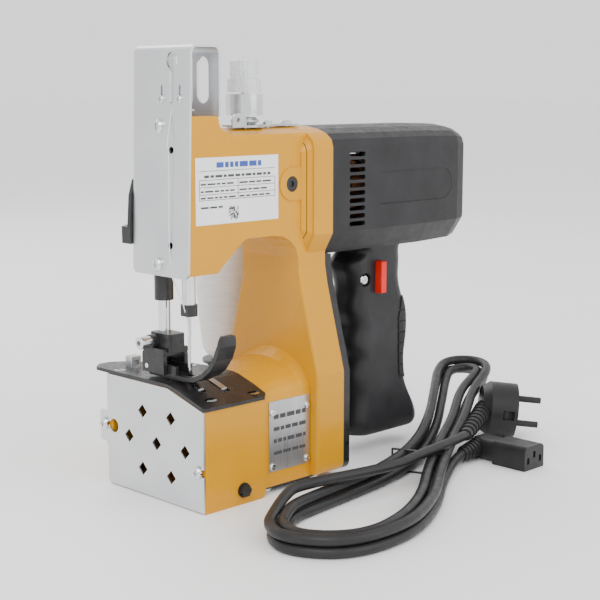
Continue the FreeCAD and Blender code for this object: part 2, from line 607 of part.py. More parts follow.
def needle_plate():
    edge = [(-15.2, PLATE_Y0), (36.0, PLATE_Y0), (40.0, PLATE_Y0 + 3.5), (41.2, -10.0), (41.2, 30.0), (38.0, 46.0),
            (28.0, 60.0), (16.0, 72.0), (8.0, 82.0), (0.0, TONGUE_Y), (-8.0, TONGUE_Y), (-15.2, 80.0)]
    plan = prism_z(edge, 60.0, 90.0)
    plan = round_edges(plan, 2.5, lambda e: runs_along(e, Z_AXIS) and e.BoundBox.XMax < -15)
    sheet = prism_x(plate_profile(-PLATE_T, 0.0, TONGUE_Y + 5), -20, 50).common(plan)
    row_slot = box(13.6, 19.4, -17.0, 27.4, 60, 90)
    finger_slot = box(-2.2, 3.2, -12.8, -3.0, 60, 90)
    needle_hole = rod_z(60, 90, 0, 0, 1.7)
    screws = []
    for x, y in PLATE_SCREWS:
        screws.append(rod_z(60, 90, x, y, 2.0))
        screws.append(Part.makeCone(1.6, 4.4, 2.8, V(x, y, plate_z(y) - 2.4)))
    return cut_all(sheet, [row_slot, finger_slot, needle_hole] + screws)


def plate_screws():
    screws = []
    for x, y in PLATE_SCREWS:
        z = plate_z(y) - 0.25
        head = Part.makeCone(1.9, 4.1, 2.0, V(x, y, z - 2.0))
        shank = rod_z(z - 9.0, z - 1.9, x, y, 1.9)
        recess = [box(x - 2.2, x + 2.2, y - 0.45, y + 0.45, z - 1.0, z + 1),
                  box(x - 0.45, x + 0.45, y - 2.2, y + 2.2, z - 1.0, z + 1)]
        screws.append(head.fuse(shank).cut(Part.makeCompound(recess)))
    return screws


def front_cover():
    """Light sheet over the looper box: keyhole tab on one side, open notch on the other, seven vents."""
    x0 = BOX_X0 - GAP - 1.2
    outline = [(BOX_Y0 + 0.4, 0.8), (BOX_Y1, 0.8), (BOX_Y1, 26.0), (BOX_Y1 + 2.5, 29.0), (76.6, 29.0), (76.6, 50.0),
               (BOX_Y1, 50.0), (BOX_Y1, PLATE_TOP - PLATE_T - 0.5), (KNEE_Y + 2.0, PLATE_TOP - PLATE_T - 0.6),
               (BOX_Y0 + 0.4, plate_z(BOX_Y0) - PLATE_T - 0.5)]
    sheet = prism_x(outline, x0, x0 + 1.2)
    sheet = round_edges(sheet, 4.0, lambda e: runs_along(e, X_AXIS) and e.BoundBox.YMin > BOX_Y1 - 0.1
                        and e.BoundBox.ZMax < 2)
    sheet = round_edges(sheet, 2.0, lambda e: runs_along(e, X_AXIS) and e.BoundBox.YMin > 76)
    cuts = []
    hole_y, hole_z = COVER_SCREWS[0]
    cuts += [rod_x(-20, 0, hole_y - COVER_SLIDE, hole_z, 4.6), rod_x(-20, 0, hole_y, hole_z, 2.4),
             box(-20, 0, hole_y - COVER_SLIDE, hole_y, hole_z - 2.4, hole_z + 2.4)]
    notch_y, notch_z = COVER_SCREWS[1]
    cuts += [rod_x(-20, 0, notch_y, notch_z, 2.4), box(-20, 0, -40, notch_y, notch_z - 2.4, notch_z + 2.4)]
    for y, z in VENTS:
        half = 4.6
        cuts.append(face_of([V(-20, y - half, z), V(-20, y, z - half), V(-20, y + half, z), V(-20, y, z + half)])
                    .extrude(V(10, 0, 0)))
    return cut_all(sheet, cuts)


def front_cover_screws():
    screws = []
    for y, z in COVER_SCREWS:
        x = BOX_X0 - 2 * GAP - 1.2
        screws.append(pan_screw(V(x, y, z), (-1, 0, 0), 4.0, 2.4, 1.9, 6.0))
    return screws


def thread_cutter():
    """Small steel knife block beside the plate's outlet tongue."""
    block = box(-1.5, 6.7, 58.5, 66.0, PLATE_TOP, 86.0)
    block = round_edges(block, 1.0, lambda e: runs_along(e, Z_AXIS))
    return block.cut(box(0.8, 4.4, 50.0, 61.0, 80.6, 83.6))


# ---- presser ----
def presser_bar():
    bar = rod_z(107.0, 262.0, 0, PRESSER_Y, PRESSER_R)
    return bar.fuse(rod_z(182.0, 188.0, 0, PRESSER_Y, 6.2))


def presser_bar_guides():
    lower = tube_z(149.0, 165.0, 0, PRESSER_Y, 6.0, PRESSER_R + RUN_FIT)
    lower = lower.fuse(tube_z(129.0, 149.0, 0, PRESSER_Y, 6.2, PRESSER_R + RUN_FIT))
    upper = tube_z(230.0, HORN_TOP, 0, PRESSER_Y, 6.0, PRESSER_R + RUN_FIT)
    return [lower, upper]


def presser_spring():
    """Compression spring between the bar's collar and the head."""
    coils = 9
    low = 188.3
    pitch = (229.0 - low) / coils
    outer = [(7.0 if i % 2 else 5.8, low + pitch * 0.5 * i) for i in range(2 * coils + 1)]
    inner = [(r - 1.3, z) for r, z in reversed(outer)]
    face = face_of([V(r, PRESSER_Y, z) for r, z in outer + inner])
    return face.revolve(V(0, PRESSER_Y, 0), Z_AXIS, 360)


def foot_holder():
    """Block clamped on the presser bar, with a fork below for the foot's pin."""
    block = box(-7.0, 6.0, 11.5, 31.5, 96.5, 108.0)
    block = round_edges(block, 1.5, lambda e: runs_along(e, Z_AXIS))
    ears = [box(-10.2, -7.4, 14.0, 36.0, 82.0, 97.5), box(7.4, 10.2, 14.0, 36.0, 82.0, 97.5)]
    ears = [round_edges(e, 5.0, lambda k: runs_along(k, X_AXIS) and k.BoundBox.ZMin > 97) for e in ears]
    bridge = box(-10.2, 10.2, 14.0, 31.5, 95.0, 98.5)
    boss = rod_x(-12.0, -6.0, PRESSER_Y + 1.0, 102.5, 4.6)
    body = fuse([block, bridge, boss] + ears)
    return cut_all(body, [rod_z(90, 112, 0, PRESSER_Y, PRESSER_R), rod_x(-15, 0, PRESSER_Y + 1.0, 102.5, 2.1),
                          rod_x(-20, 20, FOOT_PIN_Y, FOOT_PIN_Z, 1.6)])


def holder_screw():
    """Socket head screw that clamps the holder on the bar."""
    y = PRESSER_Y + 1.0
    head = rod_x(-20.5, -12.0, y, 102.5, 4.0)
    head = round_edges(head, 0.8, lambda e: e.BoundBox.XMax < -20.4)
    socket = [V(-21, y + 2.0 * math.cos(math.radians(60 * i)), 102.5 + 2.0 * math.sin(math.radians(60 * i)))
              for i in range(6)]
    shank = rod_x(-12.0, -PRESSER_R - 0.2, y, 102.5, 2.1)
    return fuse([head, shank]).cut(face_of(socket).extrude(V(4.0, 0, 0)))


def foot_pin():
    return rod_x(-10.6, 10.6, FOOT_PIN_Y, FOOT_PIN_Z, 1.6)


def presser_foot():
    """Hinged foot: flat sole, needle slot and a tall upswept toe."""
    sole_z = PLATE_TOP + 1.2
    t = 3.0
    centre_y = -2.0
    radius = 36.0
    lower = [(34.0, sole_z + 1.5), (32.0, sole_z)]
    lower += [(centre_y - radius * math.sin(math.radians(a)), sole_z + radius * (1 - math.cos(math.radians(a))))
              for a in (0, 15, 30, 45, 60, 75, 86)]
    inner = radius - t
    upper = [(centre_y - inner * math.sin(math.radians(a)), sole_z + t + inner * (1 - math.cos(math.radians(a))))
             for a in (86, 75, 60, 45, 30, 15, 0)]
    upper += [(32.0, sole_z + t), (34.0, sole_z + t)]
    blade = prism_x(lower + upper, -7.0, 7.0)
    # the toe narrows to a rounded tip seen from the front
    mask = [(-7.0, 70.0), (7.0, 70.0), (7.0, 104.0)] + arc_points(0.0, 109.0, 6.2, 10, 170, 9) + [(-7.0, 104.0)]
    blade = blade.common(prism_y(mask, -60, 60))
    post = box(-6.9, 6.9, 26.5, 34.5, sole_z + t - 0.5, 89.5)
    post = round_edges(post, 3.4, lambda e: runs_along(e, X_AXIS) and e.BoundBox.ZMin > 89)
    walls = [box(-6.9, -4.4, 6.0, 27.0, sole_z + t - 0.5, 88.0), box(4.4, 6.9, 6.0, 27.0, sole_z + t - 0.5, 88.0)]
    body = fuse([blade, post] + walls)
    return cut_all(body, [rod_x(-20, 20, FOOT_PIN_Y, FOOT_PIN_Z, 1.6 + RUN_FIT),
                          box(-2.2, 2.2, -3.5, 4.5, 70, 84)])


def presser_lifter():
    """Hand lever on the outlet side of the head, hanging down at rest."""
    y0 = MID_Y + ARM_HALF + 0.6
    outline = [(LIFTER_X - 6.5, LIFTER_Z + 5.5), (LIFTER_X + 5.0, LIFTER_Z + 5.5), (LIFTER_X + 5.0, LIFTER_Z - 5.0),
               (-4.0, 185.0), (-7.0, 166.0), (-16.0, 165.0), (-16.4, 176.0), (-15.0, 196.0), (-12.0, 206.0)]
    lever = prism_y(outline, y0, y0 + 3.0)
    pad = prism_y([(-9.0, 165.2), (-16.2, 165.1), (-16.4, 176.0), (-12.0, 177.0)], y0, y0 + 9.0)
    hub = rod_y(y0, y0 + 4.5, LIFTER_X, LIFTER_Z, 6.5)
    body = fuse([lever, pad, hub])
    return body.cut(rod_y(y0 - 1, y0 + 10, LIFTER_X, LIFTER_Z, 3.0 + RUN_FIT))


def lifter_pin():
    y0 = MID_Y + ARM_HALF
    pin = rod_y(y0 - WALL - 0.8, y0 + 5.4, LIFTER_X, LIFTER_Z, 3.0)
    return pin.fuse(rod_y(y0 + 5.4, y0 + 6.8, LIFTER_X, LIFTER_Z, 4.6))


# ---- base and plates ----
def bottom_cover():
    plate = box(BOX_X1 + 0.3, COLUMN_X1 - 6.0, MID_Y - 37.0, MID_Y + 37.0, CAST_BOTTOM - 1.5, CAST_BOTTOM)
    plate = round_edges(plate, 4.0, lambda e: runs_along(e, Z_AXIS))
    return cut_all(plate, [rod_z(0, 10, x, y, 2.1) for x, y in BOTTOM_SCREWS])


def bottom_cover_screws():
    return [pan_screw(V(x, y, CAST_BOTTOM - 1.5), (0, 0, -1), 4.4, CAST_BOTTOM - 1.5, 2.1, 8.0)
            for x, y in BOTTOM_SCREWS]


def name_plate():
    x0, x1, z0, z1 = NAME_PLATE
    y = MID_Y - BASE_HALF
    plate = box(x0, x1, y - 0.6, y, z0, z1 - 0.8)
    return cut_all(plate, [rod_y(y - 2, y + 2, x, z, 1.0) for x, z in name_plate_corners()])


def name_plate_corners():
    x0, x1, z0, z1 = NAME_PLATE
    return [(x, z) for x in (x0 + 2.8, x1 - 2.8) for z in (z0 + 3.4, z1 - 8.0)]


def name_plate_screws():
    y = MID_Y - BASE_HALF - 0.6
    return [pan_screw(V(x, y, z), (0, -1, 0), 2.3, 1.3, 1.0, 3.6) for x, z in name_plate_corners()]


def spec_label():
    y = MID_Y - ARM_HALF
    return box(-8.0, 62.0, y - 0.15, y, 180.0, 221.6)


def side_plug():
    x = 74.1
    y = MID_Y - ARM_HALF
    plug = rod_y(y - 0.4, y + 3.4, x, 201.8, 5.15)
    dimple = rod_y(y - 1.0, y + 0.6, x, 201.8, 2.0)
    return plug.cut(dimple)


def side_hex_bolt():
    x = 17.9
    z = 9.4
    hexagon = [(x + 4.3 * math.cos(math.radians(60 * i)), z + 4.3 * math.sin(math.radians(60 * i))) for i in range(6)]
    head = prism_y(hexagon, BOX_Y0 - 3.4, BOX_Y0 - 0.8)
    washer = rod_y(BOX_Y0 - 0.8, BOX_Y0, x, z, 4.9)
    shank = rod_y(BOX_Y0, BOX_Y0 + 9.0, x, z, 2.6)
    return fuse([head, washer, shank])


def belt_cover():
    """Black cover that closes the back of the column."""
    outline = column_outline(0.0)
    cover = prism_x(outline, COLUMN_X1, COLUMN_X1 + 5.8)
    cover = cover.common(box(0, 200, -100, 100, 0, 152.6))
    cover = round_edges(cover, 6.0, lambda e: runs_along(e, X_AXIS) and e.BoundBox.ZMax < CAST_BOTTOM + 0.1)
    x1 = COLUMN_X1 + 5.8
    panel = prism_x(column_outline(9.0), x1 - 0.9, x1 + 1).common(box(0, 200, -100, 100, 0, 140))
    cover = cover.cut(panel)
    return cut_all(cover, [rod_x(100, 120, y, z, 2.1) for y, z in COVER_BOLTS]
                   + [rod_x(x1 - 2.4, 120, y, z, 4.4) for y, z in COVER_BOLTS])


def belt_cover_screws():
    x = COLUMN_X1 + 5.8 - 2.4
    return [pan_screw(V(x, y, z), (1, 0, 0), 3.9, 2.2, 2.1, 12.0) for y, z in COVER_BOLTS]


# ---- motor ----
def vent_slots(x0, x1, y0, y1):
    """Ten slots with round ends, in one column."""
    slots = []
    for i in range(10):
        z = 219.6 - 5.25 * i
        slots.append(box(x0 + 1.6, x1 - 1.6, y0, y1, z - 1.6, z + 1.6))
        slots += [rod_y(y0, y1, x, z, 1.6) for x in (x0 + 1.6, x1 - 1.6)]
    return slots


def motor_housing():
    x0 = COLUMN_X1
    shell = prism_x(motor_outline(), x0, MOTOR_SEAM_X)
    room = prism_x(motor_outline(3.0), x0 + 7.0, MOTOR_SEAM_X + 1)
    bore = rod_x(x0 - 1, x0 + 8, MID_Y, MOTOR_Z, 8.0)
    spigot = box(x0 - 1, x0 + 8, MID_Y - 24, MID_Y - 20, 190, 200)
    slots = vent_slots(122.3, 137.9, -40, -10) + vent_slots(122.3, 137.9, 30, 60)
    return cut_all(shell, [room, bore, spigot] + slots)


def outline_wire(x, outline):
    return Part.makePolygon([V(x, y, z) for y, z in outline + outline[:1]])


def motor_rear_cap():
    """Rear shell, drawn in towards its end in soft steps, with a recessed panel on each side."""
    steps = [(MOTOR_SEAM_X, 0.0), (205.0, 0.0), (240.0, 1.0), (248.5, 2.8), (253.0, 6.0), (MOTOR_END_X, 11.0)]
    shell = Part.makeLoft([outline_wire(x, motor_outline(inset)) for x, inset in steps], True, True)
    inner = Part.makeLoft([outline_wire(x, motor_outline(inset)) for x, inset in
                           ((MOTOR_SEAM_X - 1, 3.0), (238.0, 4.0), (250.0, 9.0))], True, True)
    shell = shell.cut(inner)
    centre = (233.0 - 11.4, 195.4)
    panel = [(153.9, 184.0)] + arc_points(centre[0], centre[1], 11.4, -90, 90, 13) + [(153.9, 206.8)]
    recess = []
    for side in (-1, 1):
        wall = MID_Y + side * MOTOR_HALF
        recess.append(prism_y(panel, min(wall - side * 0.9, wall + side * 2), max(wall - side * 0.9, wall + side * 2)))
    shell = cut_all(shell, recess)
    ribs = [rod_x(MOTOR_SEAM_X, 150.0, MID_Y + dy, MOTOR_Z + dz, 3.6) for dy, dz in MOTOR_BOLTS]
    post = fuse([shell] + ribs)
    return cut_all(post, [rod_x(MOTOR_SEAM_X - 1, 148.0, MID_Y + dy, MOTOR_Z + dz, 1.9) for dy, dz in MOTOR_BOLTS])


def motor_bolts():
    return [rod_x(COLUMN_X1 + 7.1, 147.5, MID_Y + dy, MOTOR_Z + dz, 1.9) for dy, dz in MOTOR_BOLTS]


def armature_shaft():
    pinion_r, gear_r = gear_radii()
    module = 2 * gear_r / GEAR_TEETH
    mesh_angle = math.atan2(MID_Y - MAIN_Y, MOTOR_Z - MAIN_Z) + math.pi
    phase = mesh_angle / (2 * math.pi / PINION_TEETH) + 0.5
    shaft = rod_x(94.0, 236.0, MID_Y, MOTOR_Z, 3.0)
    pinion = toothed_wheel(PINION_TEETH, pinion_r - 1.1 * module, pinion_r + 0.7 * module, 86.8, 94.1,
                           MID_Y, MOTOR_Z, phase, 0.42)
    return fuse([shaft, pinion])


def armature_core():
    """Laminated stack with winding slots and end windings."""
    core = rod_x(158.0, 194.0, MID_Y, MOTOR_Z, 17.5)
    slots = []
    for i in range(12):
        a = math.radians(30 * i)
        slots.append(rod_x(157, 195, MID_Y + 16.4 * math.cos(a), MOTOR_Z + 16.4 * math.sin(a), 1.7))
    core = cut_all(core, slots)
    ends = [Part.makeCone(10.0, 15.0, 7.0, V(151.0, MID_Y, MOTOR_Z), X_AXIS),
            Part.makeCone(15.0, 10.0, 7.0, V(194.0, MID_Y, MOTOR_Z), X_AXIS)]
    return fuse([core] + ends).cut(rod_x(140, 240, MID_Y, MOTOR_Z, 3.0))


def commutator():
    ring = rod_x(204.0, 218.0, MID_Y, MOTOR_Z, 9.0)
    grooves = [box(203, 219, MID_Y + 8.1 * math.cos(a) - 0.25, MID_Y + 8.1 * math.cos(a) + 0.25,
                   MOTOR_Z + 8.1 * math.sin(a) - 1.2, MOTOR_Z + 8.1 * math.sin(a) + 1.2)
               for a in [math.radians(30 * i) for i in range(12)]]
    return cut_all(ring, grooves).cut(rod_x(200, 220, MID_Y, MOTOR_Z, 3.0))


def cooling_fan():
    hub = rod_x(126.0, 140.0, MID_Y, MOTOR_Z, 6.0)
    disc = rod_x(126.0, 127.5, MID_Y, MOTOR_Z, 26.0)
    blades = []
    for i in range(9):
        blade = box(127.0, 138.0, MID_Y - 0.7, MID_Y + 0.7, MOTOR_Z + 5.0, MOTOR_Z + 25.5)
        blade.rotate(V(0, MID_Y, MOTOR_Z), X_AXIS, 40 * i)
        blades.append(blade)
    return fuse([hub, disc] + blades).cut(rod_x(120, 145, MID_Y, MOTOR_Z, 3.0))


def stator():
    """Field stack with two pole windings."""
    ring = tube_x(160.0, 192.0, MID_Y, MOTOR_Z, 28.0, 19.0)
    coils = [box(153.0, 199.0, MID_Y - 12, MID_Y + 12, MOTOR_Z + 20.5, MOTOR_Z + 26.5),
             box(153.0, 199.0, MID_Y - 12, MID_Y + 12, MOTOR_Z - 26.5, MOTOR_Z - 20.5)]
    return fuse([ring] + coils)


def motor_bearings():
    return [tube_x(COLUMN_X1 + 0.2, COLUMN_X1 + 6.8, MID_Y, MOTOR_Z, 8.0, 3.0 + RUN_FIT),
            tube_x(226.0, 232.0, MID_Y, MOTOR_Z, 8.0, 3.0 + RUN_FIT)]


def bearing_bracket():
    """Cross member in the rear cap that holds the back bearing and the stator."""
    bar = box(226.0, 232.0, MID_Y - 29.5, MID_Y + 29.5, MOTOR_Z - 11, MOTOR_Z + 11)
    return bar.cut(rod_x(225, 233, MID_Y, MOTOR_Z, 8.0))


def carbon_brushes():
    return [box(207.0, 215.0, MID_Y + side * 18.0 - 8.6, MID_Y + side * 18.0 + 8.6, MOTOR_Z - 3, MOTOR_Z + 3)
            for side in (-1, 1)]


# ---- handle ----

def rounded_wire(z, x0, x1, y0, y1, radius):
    """Closed rounded rectangle of four lines and four arcs."""
    corners = [(x1 - radius, y1 - radius, 0), (x0 + radius, y1 - radius, 90), (x0 + radius, y0 + radius, 180),
               (x1 - radius, y0 + radius, 270)]
    edges = []
    ends = []
    for cx, cy, start in corners:
        pts = [V(cx + radius * math.cos(math.radians(start + a)), cy + radius * math.sin(math.radians(start + a)), z)
               for a in (0, 45, 90)]
        edges.append(Part.Arc(*pts).toShape())
        ends.append((pts[0], pts[2]))
    joined = []
    for i in range(4):
        joined.append(edges[i])
        joined.append(Part.LineSegment(ends[i][1], ends[(i + 1) % 4][0]).toShape())
    return Part.Wire(joined)


def handle_solid(grow=0.0, radius=12.0):
    wires = [rounded_wire(z, x0 - grow, x1 + grow, MID_Y - half - grow, MID_Y + half + grow, radius)
             for z, x0, x1, half in HANDLE_STATIONS]
    return Part.makeLoft(wires, True, False)


def handle_shells():
    """Two mirrored halves, split on the middle plane."""
    bosses = [rod_y(MID_Y - 30, MID_Y + 30, x, z, 4.6) for x, z in HANDLE_FAR_SCREWS + (HANDLE_NEAR_SCREW,)]
    room = handle_solid(-3.0, 9.5).common(box(100, 260, -60, 80, 17.5, HANDLE_TOP - 4.0))
    body = handle_solid().cut(cut_all(room, bosses + [box(184, 230, -60, 80, 0, 22.0)]))
    x0, x1, z0, z1 = TRIGGER
    cavity = [box(x0 - GAP, x1 + GAP, MID_Y - 30, MID_Y - 1.0, z0 - GAP, z1 + GAP),
              box(165.0, 181.0, MID_Y - 9.0, MID_Y + 9.0, 110.0, 146.0),
              box(195.0, 215.0, MID_Y - 13.6, MID_Y + 13.6, 0, 17.0),
              rod_y(-40, MID_Y - HANDLE_HALF + 3.0, *HANDLE_NEAR_SCREW, 4.9),
              rod_y(-40, MID_Y + 9, *HANDLE_NEAR_SCREW, 1.9)]
    pad = pad_zone()
    for x, z in HANDLE_FAR_SCREWS:
        cavity += [rod_y(MID_Y + HANDLE_HALF - 3.0, 60, x, z, 4.4), rod_y(MID_Y - 9, 60, x, z, 1.9)]
    body = cut_all(body, cavity + [pad.common(handle_solid())])
    near = body.common(box(100, 260, -60, MID_Y, 0, 160))
    far = body.common(box(100, 260, MID_Y, 80, 0, 160))
    return near, far


def pad_zone():
    """Volume of the soft insert on the palm side."""
    skin = handle_solid(0.8, 12.6).cut(handle_solid(-1.4, 10.8))
    zone = prism_y([(197.0, 52.0), (240.0, 44.0), (240.0, 112.0), (199.0, 112.0), (194.5, 96.0)], -60, 60)
    return skin.common(zone)


def grip_pad():
    """Soft insert with cross ribs on the palm side."""
    pad = pad_zone()
    grooves = []
    shell = handle_solid(3.0, 14.0).cut(handle_solid(0.0, 12.0))
    for i in range(7):
        z = 52.5 + 8.2 * i
        grooves.append(box(190, 250, -60, 60, z, z + 1.0).common(shell))
    return cut_all(pad, grooves)


def handle_screws():
    x, z = HANDLE_NEAR_SCREW
    near = pan_screw(V(x, MID_Y - HANDLE_HALF + 3.0, z), (0, -1, 0), 3.6, 2.0, 1.8, 20.0)
    far = [pan_screw(V(x, MID_Y + HANDLE_HALF - 3.0, z), (0, 1, 0), 3.6, 2.0, 1.8, 20.0) for x, z in HANDLE_FAR_SCREWS]
    return [near] + far


def trigger():
    x0, x1, z0, z1 = TRIGGER
    y_out = MID_Y - HANDLE_HALF - 6.0
    key = box(x0, x1, y_out, MID_Y - 5.2, z0, z1)
    key = round_edges(key, 0.8, lambda e: e.BoundBox.YMax < y_out + 0.01)
    return key


def switch_body():
    """Trigger switch held between the handle shells."""
    return box(166.0, 180.0, MID_Y - 1.8, MID_Y + 8.8, 111.0, 145.0)


def power_inlet():
    """Three-pin appliance inlet let into the foot of the handle."""
    x0, x1 = 195.2, 214.8
    body = box(x0, x1, MID_Y - 13.4, MID_Y + 13.4, 13.2, 17.0)
    well = box(x0 + 2, x1 - 2, MID_Y - 11.4, MID_Y + 11.4, 12.0, 15.6)
    pins = [box(x - 0.9, x + 0.9, y - 1.9, y + 1.9, 13.6, 15.7)
            for x, y in ((203.0, MID_Y - 7.0), (203.0, MID_Y + 7.0), (207.4, MID_Y))]
    return fuse([body.cut(well)] + pins)


# ---- thread tension ----

def tension_bracket():
    """Spring steel strip with an upturned eyelet ear."""
    t = 1.2
    strip = box(40.0, 97.0, STUD_Y - 6.5, STUD_Y + 6.5, BRACKET_Z, BRACKET_Z + t)
    disc = rod_z(BRACKET_Z, BRACKET_Z + t, STUD_X, STUD_Y, 12.0)
    strip = strip.fuse(disc)
    ear = box(33.0, 45.0, STUD_Y - 11.5, STUD_Y - 10.3, BRACKET_Z, BRACKET_Z + 9.0)
    ear = round_edges(ear, 5.0, lambda e: runs_along(e, Y_AXIS) and e.BoundBox.ZMin > BRACKET_Z + 8)
    foot = box(33.0, 52.0, STUD_Y - 11.5, STUD_Y - 6.0, BRACKET_Z, BRACKET_Z + t)
    body = fuse([strip, ear, foot])
    holes = [rod_y(-40, 10, 38.0, BRACKET_Z + 4.6, 1.6).common(box(30, 46, -20, STUD_Y - 9, 240, 260)),
             rod_z(230, 250, STUD_X, STUD_Y, 2.5)]
    holes += [rod_z(230, 250, x, y, 1.8) for x, y in BRACKET_SCREWS]
    return cut_all(body, holes)


def bracket_screws():
    return [pan_screw(V(x, y, BRACKET_Z + 1.2), (0, 0, 1), 3.6, 2.3, 1.8, 9.0) for x, y in BRACKET_SCREWS]


def tension_stud():
    return rod_z(230.5, 272.0, STUD_X, STUD_Y, 2.4)


def tension_discs():
    """Two dished discs that pinch the thread."""
    discs = []
    for flip, z in ((1, BRACKET_Z + 1.3), (-1, BRACKET_Z + 6.3)):
        profile = [(2.5, z), (7.0, z), (9.5, z + flip * 2.0), (9.5, z + flip * 2.7), (6.6, z + flip * 0.8),
                   (2.5, z + flip * 0.8)]
        face = face_of([V(STUD_X + r, STUD_Y, h) for r, h in profile])
        discs.append(face.revolve(V(STUD_X, STUD_Y, 0), Z_AXIS, 360))
    return discs


def tension_cup():
    """Chromed spring cup."""
    z0 = BRACKET_Z + 7.4
    cup = tube_z(z0, 260.0, STUD_X, STUD_Y, 12.2, 11.0)
    floor = tube_z(z0, z0 + 1.0, STUD_X, STUD_Y, 12.2, 2.5)
    return fuse([cup, floor])


def tension_spring():
    z0 = BRACKET_Z + 8.6
    coils = 4
    pitch = (258.6 - z0) / coils
    outer = [(7.4 if i % 2 else 6.4, z0 + pitch * 0.5 * i) for i in range(2 * coils + 1)]
    inner = [(r - 1.2, z) for r, z in reversed(outer)]
    face = face_of([V(STUD_X + r, STUD_Y, z) for r, z in outer + inner])
    return face.revolve(V(STUD_X, STUD_Y, 0), Z_AXIS, 360)


def tension_knob():
    """Fluted adjusting knob over a plain skirt."""
    z0 = 261.2
    skirt = rod_z(z0, z0 + 8.3, STUD_X, STUD_Y, 11.1)
    grip = rod_z(z0 + 8.0, z0 + 19.5, STUD_X, STUD_Y, 9.2)
    crown = Part.makeCone(9.2, 6.2, 3.0, V(STUD_X, STUD_Y, z0 + 19.5))
    knob = fuse([skirt, grip, crown]).cut(rod_z(z0 - 1, z0 + 14, STUD_X, STUD_Y, 2.5))
    flutes = []
    for i in range(18):
        a = math.radians(20 * i)
        flutes.append(rod_z(z0 + 9.6, z0 + 24, STUD_X + 9.9 * math.cos(a), STUD_Y + 9.9 * math.sin(a), 1.1))
    return cut_all(knob, flutes)


# ---- thread supply ----
def thread_stand():
    """Bracket on the column's outlet side with a shelf and spindle."""
    y0 = MID_Y + FOOT_HALF
    upright = box(84.0, 104.0, y0, y0 + 2.0, 28.0, SPOOL_BASE_Z - 2)
    shelf = box(84.0, 104.0, y0, SPOOL_Y, SPOOL_BASE_Z - 3.5, SPOOL_BASE_Z - 1.5)
    disc = rod_z(SPOOL_BASE_Z - 3.5, SPOOL_BASE_Z - 1.5, SPOOL_X, SPOOL_Y, 22.0)
    gusset = prism_x([(y0 + 1, 40.0), (y0 + 1, SPOOL_BASE_Z - 2), (y0 + 18, SPOOL_BASE_Z - 2)], 93.0, 95.0)
    spindle = rod_z(SPOOL_BASE_Z - 2, 204.0, SPOOL_X, SPOOL_Y, 2.5)
    body = fuse([upright, shelf, disc, gusset, spindle])
    return cut_all(body, [rod_y(y0 - 1, y0 + 3, 88.5, 34.0, 2.1), rod_y(y0 - 1, y0 + 3, 99.5, 34.0, 2.1)])


def thread_stand_screws():
    y0 = MID_Y + FOOT_HALF + 2.0
    return [pan_screw(V(x, y0, 34.0), (0, 1, 0), 3.9, 2.2, 2.1, 6.0) for x in (88.5, 99.5)]


def revolve_z(profile, x, y):
    face = face_of([V(x + r, y, z) for r, z in profile])
    return face.revolve(V(x, y, 0), Z_AXIS, 360)


def cone_core():
    z0 = SPOOL_BASE_Z - 1.2
    profile = [(13.0, z0), (14.4, z0), (9.4, z0 + 132.0), (8.0, z0 + 132.0)]
    return revolve_z(profile, SPOOL_X, SPOOL_Y)


def thread_winding():
    """Wound thread, fullest above the middle."""
    z0 = SPOOL_BASE_Z + 3.0
    outer = [(19.0, 0.0), (21.5, 4.0), (23.5, 20.0), (25.6, 44.0), (26.6, 64.0), (26.2, 84.0), (23.8, 102.0),
             (20.0, 114.0), (14.0, 120.0)]
    inner = [(10.3, 120.0), (14.4, 0.0)]
    return revolve_z([(r, z0 + z) for r, z in outer + inner], SPOOL_X, SPOOL_Y)


# ---- power lead ----
def hank_section(index):
    """Chamfered section across the hank, square to its line in plan."""
    x, y, low, half = HANK_LINE[index]
    before = HANK_LINE[max(index - 1, 0)]
    after = HANK_LINE[min(index + 1, len(HANK_LINE) - 1)]
    along = V(after[0] - before[0], after[1] - before[1], 0).normalize()
    side = V(-along.y, along.x, 0)
    wide = half + CORD_R
    high = low + HANK_HEIGHT
    c = 4.0
    corners = [(wide, low + c), (wide, high - c), (wide - c, high), (-wide + c, high), (-wide, high - c),
               (-wide, low + c), (-wide + c, low), (wide - c, low)]
    points = [V(x, y, z) + side * across for across, z in corners]
    return Part.makePolygon(points + points[:1])


def cord_hank():
    """Outer shape of the tied lead, as one closed solid."""
    return Part.makeLoft([hank_section(i) for i in range(len(HANK_LINE))], True, True)


def cone_between(start, end, start_r, end_r):
    axis = end - start
    return Part.makeCone(start_r, end_r, axis.Length, start, axis)


def ribbed_relief(start, end, start_r, end_r, ribs):
    """Tapered strain relief with round ribs."""
    core = cone_between(start, end, start_r, end_r)
    axis = end - start
    step = axis / (ribs + 1.0)
    rings = []
    for i in range(1, ribs + 1):
        centre = start + step * i
        radius = start_r + (end_r - start_r) * i / (ribs + 1.0) + 0.8
        rings.append(rod(centre - axis.normalize() * 0.9, centre + axis.normalize() * 0.9, radius))
    return fuse([core] + rings)


def cord_connector():
    """Appliance connector that fits the inlet in the handle."""
    x, y, z = CONNECTOR_END
    hood = box(x - 11.3, x + 11.3, y, y + 28.0, 0.2, 17.2)
    hood = round_edges(hood, 4.0, lambda e: runs_along(e, Y_AXIS) and e.BoundBox.ZMin > 10)
    grip = box(x - 9.5, x + 9.5, y + 26.0, y + 48.0, 0.6, 15.8)
    grip = round_edges(grip, 5.0, lambda e: runs_along(e, Y_AXIS))
    relief = ribbed_relief(V(x - 1, y + 46.0, z), V(*CORD_START), 6.6, 4.4, 6)
    body = fuse([hood, grip, relief])
    slots = [box(x + dx - 1.3, x + dx + 1.3, y - 1, y + 14.0, z + dz - 2.3, z + dz + 2.3)
             for dx, dz in ((-7.0, -1.5), (0.0, 2.3), (7.0, -1.5))]
    return cut_all(body, slots)


